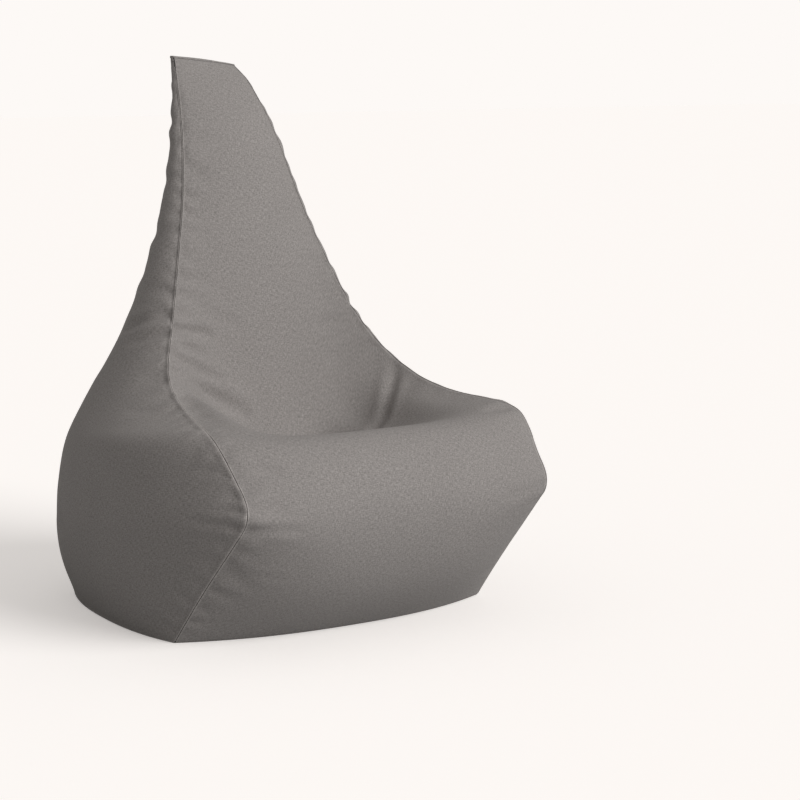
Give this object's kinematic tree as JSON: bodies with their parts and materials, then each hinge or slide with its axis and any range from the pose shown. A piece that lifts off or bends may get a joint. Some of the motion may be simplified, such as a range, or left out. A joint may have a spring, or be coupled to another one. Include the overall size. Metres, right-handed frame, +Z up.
{
  "type": "bean bag chair",
  "caption": "High-backed bean bag lounger: a sewn cover with a scooped seat, soft arms and a tall tapering back over a liner of loose beads; cover and liner open with zips.",
  "frame": {"origin": "on the floor, under the middle of the chair's box", "axes": "+Z up, the sitter looks along -Y, +X to the sitter's left"},
  "size_m": [0.873, 0.942, 1.1],
  "materials": {
    "woven_canvas": "matte",
    "seam_canvas": "matte",
    "zip_tape": "matte",
    "zip_teeth": "satin",
    "zip_metal": "satin",
    "liner_cloth": "matte",
    "beads": "matte"
  },
  "bodies": {
    "bag": {"bead_fill": "beads", "cover_back_panel": "woven_canvas", "cover_base_panel": "woven_canvas", "cover_front_panel": "woven_canvas", "cover_left_side_panel": "woven_canvas", "cover_right_side_panel": "woven_canvas", "cover_top_binding": "seam_canvas", "cover_zip_end_stops": "zip_teeth", "cover_zip_lower_tape": "zip_tape", "cover_zip_lower_teeth": "zip_teeth", "cover_zip_upper_tape": "zip_tape", "cover_zip_upper_teeth": "zip_teeth", "liner_back_panel": "liner_cloth", "liner_base_panel": "liner_cloth", "liner_front_panel": "liner_cloth", "liner_left_panel": "liner_cloth", "liner_right_panel": "liner_cloth", "liner_top_panel": "liner_cloth", "liner_zip_end_stops": "zip_teeth", "liner_zip_lower_tape": "zip_tape", "liner_zip_lower_teeth": "zip_teeth", "liner_zip_upper_tape": "zip_tape", "liner_zip_upper_teeth": "zip_teeth", "seam_base_front": "seam_canvas", "seam_base_left": "seam_canvas", "seam_base_rear": "seam_canvas", "seam_base_right": "seam_canvas", "seam_front_left": "seam_canvas", "seam_front_right": "seam_canvas", "seam_rear_left": "seam_canvas", "seam_rear_right": "seam_canvas"},
    "zip_slider": {"cover_zip_slider": "zip_metal"},
    "zip_pull": {"cover_zip_pull_tab": "zip_metal"},
    "liner_slider": {"liner_zip_slider": "zip_metal"}
  },
  "joints": [
    {"name": "cover_zip_slide", "type": "hinge", "parent": "bag", "child": "zip_slider", "pos_m": [0, 0.02423, 0.19], "axis": [0, 0, -1], "range_deg": [0, 39.8]},
    {"name": "pull_tab_swing", "type": "hinge", "parent": "zip_slider", "child": "zip_pull", "pos_m": [-0.15331, 0.44744, 0.18993], "axis": [-0.0051, 0.0139, 0.9999], "range_deg": [0, 170]},
    {"name": "liner_zip_slide", "type": "hinge", "parent": "bag", "child": "liner_slider", "pos_m": [0, 0.01938, 0.255], "axis": [0, 0, -1], "range_deg": [0, 30.3]}
  ]
}
